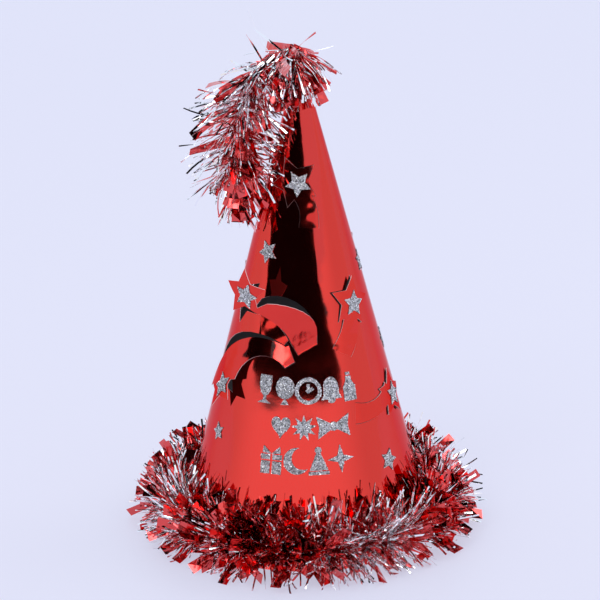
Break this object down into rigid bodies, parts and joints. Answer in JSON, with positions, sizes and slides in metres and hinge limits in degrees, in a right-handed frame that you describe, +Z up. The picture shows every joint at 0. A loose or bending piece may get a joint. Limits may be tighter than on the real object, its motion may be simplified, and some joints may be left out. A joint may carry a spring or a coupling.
{
  "type": "party hat",
  "caption": "Tall foil-card cone party hat with die-cut pop-out star flaps, raised glitter stars and party motifs, a tinsel garland round the brim and a tinsel topper on a bendable wire.",
  "frame": {"origin": "centre of the brim, on the plane the hat stands on", "axes": "+Z up the cone to the tip, front of the hat with the glitter motifs faces -Y, +X to the right as seen from the front"},
  "size_m": [0.212, 0.212, 0.3],
  "materials": {
    "foil_card": "mirror-like red metallic foil laminated on thin card, dark on its back",
    "glitter": "coarse silver glitter in clear glue",
    "tape": "double-sided paper tape",
    "glue": "translucent hot-melt glue",
    "wire": "thin twisted steel wire",
    "tinsel": "metallised film strips, red with fine silver"
  },
  "bodies": {
    "hat": {"cone_shell": "foil_card", "seam_tape": "tape", "tip_plug": "glue", "brim_wire": "wire", "brim_glue_dabs": "glue", "brim_tinsel": "tinsel", "loose_star_upper_left": "glitter", "loose_star_low_left": "glitter", "loose_star_low_right": "glitter", "loose_star_right_high": "glitter", "loose_star_right_mid": "glitter", "loose_star_back_high": "glitter", "loose_star_back_low": "glitter", "loose_star_back_left": "glitter", "motif_flute": "glitter", "motif_balloon": "glitter", "motif_clock": "glitter", "motif_bell": "glitter", "motif_bottle": "glitter", "motif_heart": "glitter", "motif_burst": "glitter", "motif_bow": "glitter", "motif_gift": "glitter", "motif_moon": "glitter", "motif_hat": "glitter", "motif_sparkle": "glitter"},
    "topper": {"topper_wire": "wire", "topper_tinsel": "tinsel"},
    "crown_flap": {"crown_flap": "foil_card", "crown_star": "glitter"},
    "left_flap": {"left_flap": "foil_card", "left_star": "glitter"},
    "low_left_flap": {"low_left_flap": "foil_card", "low_left_star": "glitter"},
    "right_flap": {"right_flap": "foil_card", "right_star": "glitter"},
    "side_flap": {"side_flap": "foil_card", "side_star": "glitter"},
    "back_right_flap": {"back_right_flap": "foil_card", "back_right_star": "glitter"},
    "back_left_flap": {"back_left_flap": "foil_card", "back_left_star": "glitter"},
    "left_tongue": {"left_tongue": "foil_card"}
  },
  "joints": [
    {"name": "topper_lift", "type": "hinge", "parent": "hat", "child": "topper", "pos_m": [0, 0, 0.2835], "axis": [0, 1, 0], "range_deg": [0, 70]},
    {"name": "crown_flap_fold", "type": "hinge", "parent": "hat", "child": "crown_flap", "pos_m": [0.0036, -0.02527, 0.18802], "axis": [0.9891, 0.1171, -0.0897], "range_deg": [-2, 43]},
    {"name": "left_flap_fold", "type": "hinge", "parent": "hat", "child": "left_flap", "pos_m": [0.00331, -0.0427, 0.12226], "axis": [0.8564, 0.1929, 0.479], "range_deg": [-39, 36]},
    {"name": "low_left_flap_fold", "type": "hinge", "parent": "hat", "child": "low_left_flap", "pos_m": [-0.00496, -0.04451, 0.11482], "axis": [-0.9271, 0.189, 0.3238], "range_deg": [-18, 32]},
    {"name": "right_flap_fold", "type": "hinge", "parent": "hat", "child": "right_flap", "pos_m": [0.02132, -0.03842, 0.11803], "axis": [0.8089, 0.2961, -0.5079], "range_deg": [-4, 41]},
    {"name": "side_flap_fold", "type": "hinge", "parent": "hat", "child": "side_flap", "pos_m": [0.02838, -0.04472, 0.08371], "axis": [0.0111, -0.2911, -0.9566], "range_deg": [-2.5, 42.5]},
    {"name": "back_right_flap_fold", "type": "hinge", "parent": "hat", "child": "back_right_flap", "pos_m": [0.03599, 0.01192, 0.14095], "axis": [-0.1451, 0.855, -0.498], "range_deg": [-2.5, 42.5]},
    {"name": "back_left_flap_fold", "type": "hinge", "parent": "hat", "child": "back_left_flap", "pos_m": [-0.03918, 0.01529, 0.12518], "axis": [-0.3764, -0.9249, -0.0544], "range_deg": [-2.5, 42.5]},
    {"name": "left_tongue_fold", "type": "hinge", "parent": "hat", "child": "left_tongue", "pos_m": [-0.02422, -0.03182, 0.13304], "axis": [0.019, -0.327, -0.9449], "range_deg": [-3, 27]}
  ]
}
